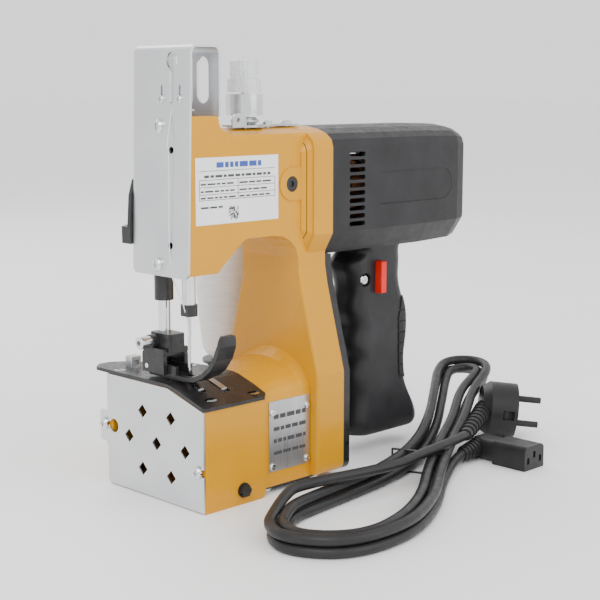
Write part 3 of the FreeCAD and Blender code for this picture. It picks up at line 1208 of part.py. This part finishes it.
def cord_plug():
    """Round mains plug with two pins, side earth strips and a ribbed strain relief."""
    centre = V(*PLUG_CENTRE)
    axis = V(*PLUG_AXIS).normalize()
    back = centre - axis * 13.0
    front = centre + axis * 13.0
    body = fuse([rod(back + axis * 6.0, front, PLUG_R), cone_between(back, back + axis * 6.0, PLUG_R - 4.0, PLUG_R)])
    across = axis.cross(Z_AXIS).normalize()
    upward = across.cross(axis)
    flats = []
    for sign in (-1, 1):
        middle = centre + across * sign * (PLUG_R + 1.4) + axis * 6.0
        flats.append(rod(middle - upward * 3.5, middle + upward * 3.5, 4.6))
    body = body.cut(Part.makeCompound(flats))
    pins = []
    for sign in (-1, 1):
        base = front + upward * sign * 9.5 - axis * 1.0
        pin = rod(base, base + axis * 20.0, 2.4)
        pins.append(pin)
    relief = ribbed_relief(back + axis * 4.0, V(*CORD_FINISH), 7.0, 4.4, 9)
    return fuse([body, relief] + pins)


def cord_tie():
    """Coated wire round the hank's waist, with a twisted end."""
    x, y, low, half = HANK_LINE[TIE_STATION]
    outer = hank_band(0.9)
    inner = hank_band(0.0)
    twist = rod(V(x + 2, y - 8, low + HANK_HEIGHT + 0.4), V(x + 16, y - 14, low + HANK_HEIGHT + 4.0), 0.9)
    return fuse([outer.cut(inner), twist])


def hank_band(grow):
    x, y, low, half = HANK_LINE[TIE_STATION]
    before = HANK_LINE[TIE_STATION - 1]
    after = HANK_LINE[TIE_STATION + 1]
    along = V(after[0] - before[0], after[1] - before[1], 0).normalize()
    side = V(-along.y, along.x, 0)
    wide = half + CORD_R + 0.7 + grow
    high = low + HANK_HEIGHT + 0.7 + grow
    floor = low + 1.0 - grow
    corners = [(wide, floor), (wide, high), (-wide, high), (-wide, floor)]
    points = [V(x, y, z) + side * across - along * 1.1 for across, z in corners]
    return face_of(points).extrude(along * 2.2)


# ---- assembly ----
def pieces():
    """Every node's name with its solids; like fasteners share a node."""
    near, far = handle_shells()
    return {
        "body_casting": body_casting(),
        "head_cover": head_cover(),
        "thread_guide_plate": thread_guide_plate(),
        "needle_bar": needle_bar().fuse(take_up()),
        "needle_clamp": needle_clamp(),
        "needle": needle(),
        "drive_stud": drive_stud(),
        "needle_bar_bushes": needle_bar_bushes(),
        "crank": crank(),
        "connecting_rod": connecting_rod(),
        "main_shaft": main_shaft(),
        "main_drive_wheels": [pulley(MAIN_Z), reduction_gear()],
        "timing_belt": timing_belt(),
        "lower_shaft": lower_shaft(),
        "lower_pulley": pulley(LOWER_Z),
        "bushes_and_bearings": main_shaft_bushes() + lower_shaft_bearings() + motor_bearings(),
        "looper": looper(),
        "feed_dog": feed_dog(),
        "needle_plate": needle_plate(),
        "needle_plate_screws": plate_screws(),
        "thread_cutter": thread_cutter(),
        "front_cover": front_cover(),
        "presser_bar": presser_bar(),
        "presser_bar_guides": presser_bar_guides(),
        "presser_spring": presser_spring(),
        "foot_holder": foot_holder(),
        "foot_fasteners": [holder_screw(), foot_pin()],
        "presser_foot": presser_foot(),
        "presser_lifter": presser_lifter(),
        "pivot_pins": [lifter_pin(), looper_pin()],
        "bottom_cover": bottom_cover(),
        "name_plate": name_plate(),
        "spec_label": spec_label(),
        "side_fittings": [side_plug(), side_hex_bolt()],
        "belt_cover": belt_cover(),
        "case_screws": head_cover_screws() + front_cover_screws() + bracket_screws() + name_plate_screws(),
        "base_screws": bottom_cover_screws() + belt_cover_screws() + thread_stand_screws(),
        "motor_housing": motor_housing(),
        "motor_rear_cap": motor_rear_cap(),
        "handle_screws": handle_screws() + motor_bolts(),
        "armature_shaft": armature_shaft(),
        "armature_core": [armature_core(), commutator()],
        "cooling_fan": cooling_fan(),
        "stator": stator(),
        "bearing_bracket": bearing_bracket(),
        "carbon_brushes": carbon_brushes(),
        "handle_near_shell": near,
        "handle_far_shell": far,
        "grip_pad": grip_pad(),
        "trigger": trigger(),
        "switch_and_inlet": [switch_body(), power_inlet()],
        "tension_bracket": tension_bracket(),
        "tension_discs": tension_discs() + [tension_stud(), tension_cup(), tension_spring()],
        "tension_knob": tension_knob(),
        "thread_stand": thread_stand(),
        "thread_cone": [cone_core(), thread_winding()],
        "cord_hank": cord_hank(),
        "cord_connector": cord_connector(),
        "cord_plug": cord_plug(),
        "cord_tie": cord_tie(),
    }


def main():
    os.makedirs("parts", exist_ok=True)
    nodes = pieces()
    print(len(nodes), "nodes")
    for name, solids in nodes.items():
        shape = Part.makeCompound(solids) if isinstance(solids, list) else solids
        if not shape.isValid():
            print("invalid", name)
        shape.exportStep("parts/" + name + ".step")
        print(f"{name}: {len(shape.Solids)} solids, {shape.Volume / 1000:.2f} cm3")


main()
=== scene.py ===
"""Looks of the bag closer sewing machine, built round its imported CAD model."""
import json
import math
import random

import bmesh
import bpy
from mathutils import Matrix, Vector


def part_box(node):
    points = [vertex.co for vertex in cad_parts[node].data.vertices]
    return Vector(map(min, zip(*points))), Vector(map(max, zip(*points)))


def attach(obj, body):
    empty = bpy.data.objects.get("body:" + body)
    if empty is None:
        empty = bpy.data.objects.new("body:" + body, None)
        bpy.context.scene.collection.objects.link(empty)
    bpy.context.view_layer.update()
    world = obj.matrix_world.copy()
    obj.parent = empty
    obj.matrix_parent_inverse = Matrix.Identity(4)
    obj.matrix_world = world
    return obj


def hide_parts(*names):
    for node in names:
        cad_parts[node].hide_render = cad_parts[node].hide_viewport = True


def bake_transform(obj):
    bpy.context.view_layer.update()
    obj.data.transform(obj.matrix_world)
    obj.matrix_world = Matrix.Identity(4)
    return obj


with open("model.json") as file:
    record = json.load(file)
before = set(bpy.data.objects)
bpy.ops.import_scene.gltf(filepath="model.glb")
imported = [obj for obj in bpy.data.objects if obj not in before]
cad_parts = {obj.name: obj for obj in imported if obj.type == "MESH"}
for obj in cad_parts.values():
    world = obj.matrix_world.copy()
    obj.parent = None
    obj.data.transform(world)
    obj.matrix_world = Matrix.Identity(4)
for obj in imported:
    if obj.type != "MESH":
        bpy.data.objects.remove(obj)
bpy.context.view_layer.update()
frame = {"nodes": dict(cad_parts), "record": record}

BODY = "machine"
MM = 0.001

# ---- camera, at the photograph's angle ----
CAMERA_AT = Vector((-528.1, -631.3, 264.0)) * MM
CAMERA_YAW = math.radians(44.81)
CAMERA_PITCH = math.radians(9.19)
CAMERA_LENS = 78.72

# ---- power lead ----
CORD_R = 3.5 * MM
FLOOR_GAP = 0.0002
LAYER = 7.3 * MM                # height from one layer of cord to the next
LANE = 8.4 * MM                 # sideways distance between neighbouring loops
TURNS = 3
POINTS_PER_TURN = 22
FIRST_ANGLE = -1.45             # where on the loop the lead joins the hank
LAST_ANGLE = 2 * math.pi * TURNS + 0.85
MID_ANGLE = math.pi * TURNS     # where the winding turns from inwards to outwards
INMOST_LANES = 1.5
HANK_LINE = (
    # x, y, underside, half width between the outer cords' centres, in mm
    (-22, -94, 0, 36), (-8, -107, 0, 42), (16, -115, 0, 46), (60, -104, 0, 40), (108, -86, 0, 28),
    (150, -66, 0, 16), (201, -45, 9, 17), (246, -16, 24, 18), (286, 4, 33, 25), (308, 16, 36, 27))
CORD_START = [(187, -74, 8), (176, -76, 7)]
CORD_FINISH = [(104, -84, 18.5), (136, -78, 19), (166, -76, 19.5), (196, -70, 19.5)]

# ---- thread and print ----
THREAD_R = 0.00035
THREAD_FREE_Z = 0.117           # height of one point of the thread, just above the needle
PRINT_SINK = 0.00004            # how far printed marks reach into the label
PRINT_RISE = 0.00002            # and how far they stand proud of it


# ---- node helpers ----
class Shader:
    """A principled material with its texture nodes, all in object space."""

    def __init__(self, name, roughness, metallic=0.0, coat=0.0, **fixed):
        self.material = bpy.data.materials.new(name)
        self.material.use_nodes = True
        self.tree = self.material.node_tree
        self.main = self.tree.nodes["Principled BSDF"]
        self.main.inputs["Roughness"].default_value = roughness
        self.main.inputs["Metallic"].default_value = metallic
        self.main.inputs["Coat Weight"].default_value = coat
        for key, value in fixed.items():
            self.main.inputs[key.replace("_", " ")].default_value = value
        self.place = self.tree.nodes.new("ShaderNodeTexCoord").outputs["Object"]
        self.normal = None

    def link(self, a, b):
        self.tree.links.new(a, b)

    def stretched(self, x, y, z):
        mapping = self.tree.nodes.new("ShaderNodeMapping")
        mapping.inputs["Scale"].default_value = (x, y, z)
        self.link(self.place, mapping.inputs["Vector"])
        return mapping.outputs["Vector"]

    def noise(self, scale, detail=3.0, vector=None):
        node = self.tree.nodes.new("ShaderNodeTexNoise")
        node.inputs["Scale"].default_value = scale
        node.inputs["Detail"].default_value = detail
        self.link(vector or self.place, node.inputs["Vector"])
        return node.outputs["Fac"]

    def spread(self, source, low, high):
        """Map a 0.3 to 0.7 signal to the range low to high."""
        node = self.tree.nodes.new("ShaderNodeMapRange")
        node.inputs["From Min"].default_value = 0.3
        node.inputs["From Max"].default_value = 0.7
        node.inputs["To Min"].default_value = low
        node.inputs["To Max"].default_value = high
        self.link(source, node.inputs["Value"])
        return node.outputs["Result"]

    def colours(self, source, first, second):
        node = self.tree.nodes.new("ShaderNodeValToRGB")
        node.color_ramp.elements[0].position = 0.3
        node.color_ramp.elements[1].position = 0.7
        node.color_ramp.elements[0].color = (*first, 1)
        node.color_ramp.elements[1].color = (*second, 1)
        self.link(source, node.inputs["Fac"])
        self.link(node.outputs["Color"], self.main.inputs["Base Color"])

    def rough(self, source, low, high):
        self.link(self.spread(source, low, high), self.main.inputs["Roughness"])

    def bump(self, source, height, strength=1.0):
        node = self.tree.nodes.new("ShaderNodeBump")
        node.inputs["Strength"].default_value = strength
        node.inputs["Distance"].default_value = height
        self.link(source, node.inputs["Height"])
        if self.normal:
            self.link(self.normal, node.inputs["Normal"])
        self.normal = node.outputs["Normal"]
        self.link(self.normal, self.main.inputs["Normal"])


# ---- materials ----
def yellow_enamel():
    m = Shader("yellow_enamel", 0.28, coat=0.08, Coat_Roughness=0.12, Specular_IOR_Level=0.3)
    m.colours(m.noise(14, 4), (0.56, 0.255, 0.0), (0.64, 0.290, 0.0))
    m.rough(m.noise(60, 5), 0.24, 0.38)
    m.bump(m.noise(220, 2), 0.00025, 0.35)
    m.bump(m.noise(28, 2), 0.0008, 0.25)
    return m.material


def brushed_sheet(name, first, second, low, high):
    m = Shader(name, 0.3, metallic=0.9)
    grain = m.noise(1.0, 4, m.stretched(2500, 2500, 45))
    m.colours(m.noise(25, 4), first, second)
    m.rough(grain, low, high)
    m.bump(grain, 0.00004, 0.4)
    return m.material


def machined_steel(name, first, second, low, high):
    m = Shader(name, 0.25, metallic=1.0)
    m.colours(m.noise(90, 5), first, second)
    m.rough(m.noise(350, 4), low, high)
    m.bump(m.noise(1400, 2), 0.00002, 0.4)
    return m.material


def black_enamel():
    m = Shader("black_enamel", 0.35, coat=0.1, Specular_IOR_Level=0.35)
    m.colours(m.noise(120, 5), (0.010, 0.010, 0.011), (0.022, 0.022, 0.023))
    m.rough(m.noise(260, 4), 0.25, 0.45)
    m.bump(m.noise(900, 3), 0.00006, 0.4)
    return m.material


def textured_plastic(name, colour, lighter, low, high):
    m = Shader(name, 0.45, Specular_IOR_Level=0.3)
    m.colours(m.noise(40, 5), colour, lighter)
    m.rough(m.noise(180, 4), low, high)
    m.bump(m.noise(2600, 2), 0.00008, 0.45)
    m.bump(m.noise(30, 2), 0.0006, 0.15)
    return m.material


def milky_plastic():
    m = Shader("milky_plastic", 0.25, Transmission_Weight=0.35, IOR=1.46)
    m.colours(m.noise(120, 3), (0.80, 0.82, 0.84), (0.93, 0.94, 0.95))
    m.rough(m.noise(300, 3), 0.18, 0.34)
    m.bump(m.noise(700, 2), 0.00008, 0.3)
    return m.material


def wound_thread():
    m = Shader("wound_thread", 0.75, Sheen_Weight=0.3)
    wave = m.tree.nodes.new("ShaderNodeTexWave")
    wave.wave_type = "BANDS"
    wave.bands_direction = "Z"
    wave.inputs["Scale"].default_value = 420
    wave.inputs["Distortion"].default_value = 1.2
    wave.inputs["Detail"].default_value = 2
    m.link(m.place, wave.inputs["Vector"])
    m.colours(m.noise(60, 4, m.stretched(1, 1, 14)), (0.80, 0.80, 0.78), (0.93, 0.93, 0.92))
    m.rough(m.noise(500, 3), 0.65, 0.85)
    m.bump(wave.outputs["Fac"], 0.0003, 0.6)
    return m.material


def print_ink(name, colour, lighter):
    m = Shader(name, 0.5)
    m.colours(m.noise(900, 3), colour, lighter)
    m.rough(m.noise(400, 3), 0.4, 0.6)
    return m.material


def floor_material():
    m = Shader("pale_floor", 0.6)
    m.colours(m.noise(3, 2), (0.965, 0.965, 0.965), (0.985, 0.985, 0.985))
    m.rough(m.noise(12, 2), 0.5, 0.62)
    return m.material


def make_materials():
    steel = machined_steel("ground_steel", (0.42, 0.43, 0.44), (0.56, 0.57, 0.58), 0.25, 0.42)
    black = textured_plastic("black_plastic", (0.011, 0.011, 0.012), (0.020, 0.020, 0.022), 0.32, 0.48)
    return {
        "yellow_paint": yellow_enamel(),
        "light_sheet": brushed_sheet("plated_sheet", (0.60, 0.61, 0.63), (0.68, 0.69, 0.70), 0.28, 0.42),
        "steel": steel,
        "bright_steel": machined_steel("bright_steel", (0.66, 0.67, 0.68), (0.76, 0.77, 0.78), 0.10, 0.24),
        "black_steel": black_enamel(),
        "black_plastic": black,
        "soft_black": textured_plastic("soft_grip", (0.012, 0.012, 0.012), (0.024, 0.024, 0.024), 0.6, 0.75),
        "red_plastic": textured_plastic("red_plastic", (0.62, 0.012, 0.006), (0.72, 0.020, 0.010), 0.25, 0.38),
        "clear_plastic": milky_plastic(),
        "label_film": textured_plastic("label_film", (0.82, 0.83, 0.84), (0.88, 0.89, 0.90), 0.30, 0.42),
        "bronze": machined_steel("sintered_bronze", (0.36, 0.23, 0.09), (0.46, 0.30, 0.13), 0.35, 0.5),
        "copper": machined_steel("windings", (0.45, 0.17, 0.06), (0.55, 0.24, 0.10), 0.3, 0.45),
        "thread": wound_thread(),
        "belt_rubber": textured_plastic("belt_rubber", (0.02, 0.02, 0.02), (0.03, 0.03, 0.03), 0.6, 0.8),
        "cord_pvc": textured_plastic("cord_sheath", (0.013, 0.013, 0.014), (0.022, 0.022, 0.023), 0.34, 0.5),
    }


def dress_nodes(materials):
    for part in frame["record"]["subparts"]:
        mesh = frame["nodes"][part["node"]].data
        mesh.materials.clear()
        mesh.materials.append(materials[part["material_slot"]])
    plate = brushed_sheet("name_plate_metal", (0.46, 0.47, 0.48), (0.56, 0.57, 0.58), 0.25, 0.4)
    frame["nodes"]["name_plate"].data.materials[0] = plate


# ---- pieces ----
def new_piece(name, mesh, material, body=BODY):
    piece = bpy.data.objects.new(name, mesh)
    bpy.context.collection.objects.link(piece)
    mesh.materials.append(material)
    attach(piece, body)
    return piece


def hank_frame(along):
    """Centre, sideways direction, underside and half width of the hank at a distance along its line."""
    spots = [Vector(row[:2]) for row in HANK_LINE]
    legs = [(b - a).normalized() for a, b in zip(spots, spots[1:])]
    ways = [legs[0]] + [(a + b).normalized() for a, b in zip(legs, legs[1:])] + [legs[-1]]
    left = along / MM
    i = 0
    while i < len(legs) - 1 and left > (spots[i + 1] - spots[i]).length:
        left -= (spots[i + 1] - spots[i]).length
        i += 1
    t = left / (spots[i + 1] - spots[i]).length
    way = ways[i].lerp(ways[i + 1], t)
    low = HANK_LINE[i][2] + (HANK_LINE[i + 1][2] - HANK_LINE[i][2]) * t
    half = HANK_LINE[i][3] + (HANK_LINE[i + 1][3] - HANK_LINE[i][3]) * t
    return spots[i].lerp(spots[i + 1], t) * MM, Vector((-way.y, way.x)), low * MM, half * MM


def smooth_step(t):
    t = min(max(t, 0.0), 1.0)
    return t * t * (3 - 2 * t)


def hank_turns():
    """Control points of the long loops: two flat layers, wound inwards and then outwards again."""
    length = sum((Vector(b[:2]) - Vector(a[:2])).length for a, b in zip(HANK_LINE, HANK_LINE[1:])) * MM
    full = 2 * math.pi * TURNS
    count = round((LAST_ANGLE - FIRST_ANGLE) / (2 * math.pi) * POINTS_PER_TURN)
    points = []
    for i in range(count + 1):
        angle = FIRST_ANGLE + (LAST_ANGLE - FIRST_ANGLE) * i / count
        if angle < MID_ANGLE:
            inward = INMOST_LANES * (angle - FIRST_ANGLE) / (MID_ANGLE - FIRST_ANGLE)
        else:
            inward = INMOST_LANES * max(full - angle, 0) / (full - MID_ANGLE)
        inset = inward * LANE
        along = inset + (length - 2 * inset) * (0.5 - 0.5 * math.cos(angle))
        layer = smooth_step((angle - MID_ANGLE + 1.2) / 2.4) + smooth_step((angle - full) / 0.8)
        centre, side, low, half = hank_frame(along)
        radius = half - inset
        into_turn = max(1 - min(along - inset, length - inset - along) / radius, 0)
        across = radius * math.copysign(math.sqrt(1 - into_turn ** 2), math.sin(angle))
        spot = centre + side * across
        points.append(Vector((spot.x, spot.y, low + CORD_R + FLOOR_GAP + layer * LAYER)))
    return points


def round_curve(name, kind, places, radius):
    """A curve of round section with one open spline through or along the given places."""
    curve = bpy.data.curves.new(name, "CURVE")
    curve.dimensions = "3D"
    spline = curve.splines.new(kind)
    spline.points.add(len(places) - 1)
    for point, place in zip(spline.points, places):
        point.co = (*place, 1)
    curve.bevel_depth = radius
    return curve, spline


def power_lead(material):
    route = [Vector(p) * MM for p in CORD_START] + hank_turns() + [Vector(p) * MM for p in CORD_FINISH]
    curve, spline = round_curve("power_lead", "NURBS", route, CORD_R)
    spline.order_u = 3
    spline.use_endpoint_u = True
    spline.resolution_u = 6
    curve.bevel_resolution = 4
    curve.use_fill_caps = True
    lead = new_piece("power_lead", curve, material)
    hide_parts("cord_hank")
    return lead


def thread_run(material):
    """Thread from the face slot down to the needle's eye."""
    low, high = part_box("head_cover")
    eye_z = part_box("needle")[0][2] + 0.006
    x = low[0]
    stops = [(x + 0.004, 0.0005, high[2] - 0.036), (x - 0.0008, 0.0, high[2] - 0.060),
             (x + 0.0002, 0.0, 0.226), (x - 0.0004, 0.0, 0.168), (x + 0.001, 0.0, low[2] + 0.001),
             (-0.006, -0.001, 0.130), (-0.0016, -0.0008, THREAD_FREE_Z), (-0.0011, 0.0, 0.108),
             (-0.0009, 0.0, eye_z)]
    curve = round_curve("sewing_thread", "POLY", stops, THREAD_R)[0]
    curve.bevel_resolution = 2
    pattern = bpy.data.objects.new("thread_pattern", curve)
    thread = bpy.data.objects.new("sewing_thread", bpy.data.meshes.new_from_object(pattern))
    bpy.data.objects.remove(pattern)
    bpy.context.collection.objects.link(thread)
    thread.data.materials.append(material)
    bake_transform(thread)


def block_mesh(name, blocks):
    """One mesh of thin boxes, each (x0, x1, y0, y1, z0, z1) in metres."""
    shape = bmesh.new()
    for x0, x1, y0, y1, z0, z1 in blocks:
        corners = [shape.verts.new((x, y, z)) for x in (x0, x1) for y in (y0, y1) for z in (z0, z1)]
        for face in ((0, 1, 3, 2), (4, 6, 7, 5), (0, 4, 5, 1), (2, 3, 7, 6), (0, 2, 6, 4), (1, 5, 7, 3)):
            shape.faces.new([corners[i] for i in face])
    mesh = bpy.data.meshes.new(name)
    shape.to_mesh(mesh)
    shape.free()
    return mesh


def mark(x0, x1, z0, z1, front):
    """The block of one printed mark on a face that looks along -Y at y = front."""
    return x0, x1, front - PRINT_SINK, front + PRINT_RISE, z0, z1


def dashes(rng, x0, x1, z, height, front, share=1.0):
    """A row of word-like dashes that stands for print."""
    row = []
    x = x0
    while x < x0 + (x1 - x0) * share:
        end = min(x + rng.uniform(0.0022, 0.0075), x1)
        row.append(mark(x, end, z, z + height, front))
        x = end + 0.0011
    return row


def label_print(dark, blue):
    """Rules, word-like dashes and a dot block on the specification label, with no lettering."""
    rng = random.Random(7)
    low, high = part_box("spec_label")
    front = low[1]
    x0 = low[0] + 0.003
    x1 = high[0] - 0.003
    top = high[2]
    lines = []
    for drop in (0.0085, 0.0140, 0.0185, 0.0230, 0.0265):
        lines.append(mark(x0, x1, top - drop, top - drop + 0.00035, front))
    for x in (x0, (x0 + x1) / 2, x1):
        lines.append(mark(x - 0.0002, x + 0.0002, top - 0.0265, top - 0.0140, front))
    words = dashes(rng, x0 + 0.004, x1 - 0.004, top - 0.0125, 0.0016, front)
    for drop in (0.0170, 0.0215, 0.0255):
        words += dashes(rng, x0 + 0.001, (x0 + x1) / 2 - 0.001, top - drop, 0.0011, front, 0.85)
        words += dashes(rng, (x0 + x1) / 2 + 0.001, x1 - 0.001, top - drop, 0.0011, front, 0.8)
    words += dashes(rng, x0 + 0.001, x0 + 0.020, top - 0.0315, 0.0012, front)
    cell = 0.00065
    for i in range(13):
        for j in range(13):
            if rng.random() < 0.5:
                left = x0 + 0.024 + i * cell
                under = low[2] + 0.0022 + j * cell
                words.append(mark(left, left + cell, under, under + cell, front))
    new_piece("label_lines", block_mesh("label_lines", lines + words), dark)
    header = dashes(rng, x0 + 0.014, x1 - 0.012, top - 0.0065, 0.0034, front)
    new_piece("label_header", block_mesh("label_header", header), blue)


def plate_engraving(dark):
    """Rows of dashes on the name plate."""
    rng = random.Random(11)
    low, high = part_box("name_plate")
    rows = []
    for drop, height in ((0.012, 0.0030), (0.020, 0.0026), (0.028, 0.0026), (0.036, 0.0022)):
        rows += dashes(rng, low[0] + 0.004, high[0] - 0.004, high[2] - drop, height, low[1])
    new_piece("plate_engraving", block_mesh("plate_engraving", rows), dark)


# ---- stage ----
def build_floor():
    bpy.ops.mesh.primitive_plane_add(size=40, location=(0, 0, 0))
    floor = bpy.context.object
    floor.name = "floor"
    floor.data.materials.append(floor_material())


def softbox(name, place, target, size, power):
    data = bpy.data.lights.new(name, "AREA")
    data.size = size
    data.energy = power
    lamp = bpy.data.objects.new(name, data)
    bpy.context.collection.objects.link(lamp)
    lamp.location = place
    lamp.rotation_euler = (Vector(target) - Vector(place)).to_track_quat("-Z", "Y").to_euler()


def build_lights():
    middle = (0.1, 0.0, 0.12)
    softbox("key", (-1.3, -0.9, 1.5), middle, 1.4, 20)
    softbox("side", (0.6, -1.7, 0.9), middle, 1.4, 13)
    softbox("back", (0.5, 1.4, 1.4), middle, 1.2, 12)
    world = bpy.data.worlds.new("studio")
    bpy.context.scene.world = world
    world.use_nodes = True
    world.node_tree.nodes["Background"].inputs["Color"].default_value = (1, 1, 1, 1)
    world.node_tree.nodes["Background"].inputs["Strength"].default_value = 1.4


def build_camera():
    data = bpy.data.cameras.new("camera")
    data.lens = CAMERA_LENS
    data.sensor_width = 36
    camera = bpy.data.objects.new("camera", data)
    bpy.context.collection.objects.link(camera)
    camera.location = CAMERA_AT
    camera.rotation_euler = (math.pi / 2 - CAMERA_PITCH, 0, -CAMERA_YAW)
    bpy.context.scene.camera = camera


def main():
    materials = make_materials()
    dress_nodes(materials)
    power_lead(materials["cord_pvc"])
    thread_run(materials["thread"])
    dark = print_ink("dark_ink", (0.03, 0.03, 0.035), (0.06, 0.06, 0.07))
    label_print(dark, print_ink("blue_ink", (0.02, 0.06, 0.30), (0.03, 0.09, 0.38)))
    plate_engraving(dark)
    build_floor()
    build_lights()
    build_camera()
    bpy.context.view_layer.update()


main()
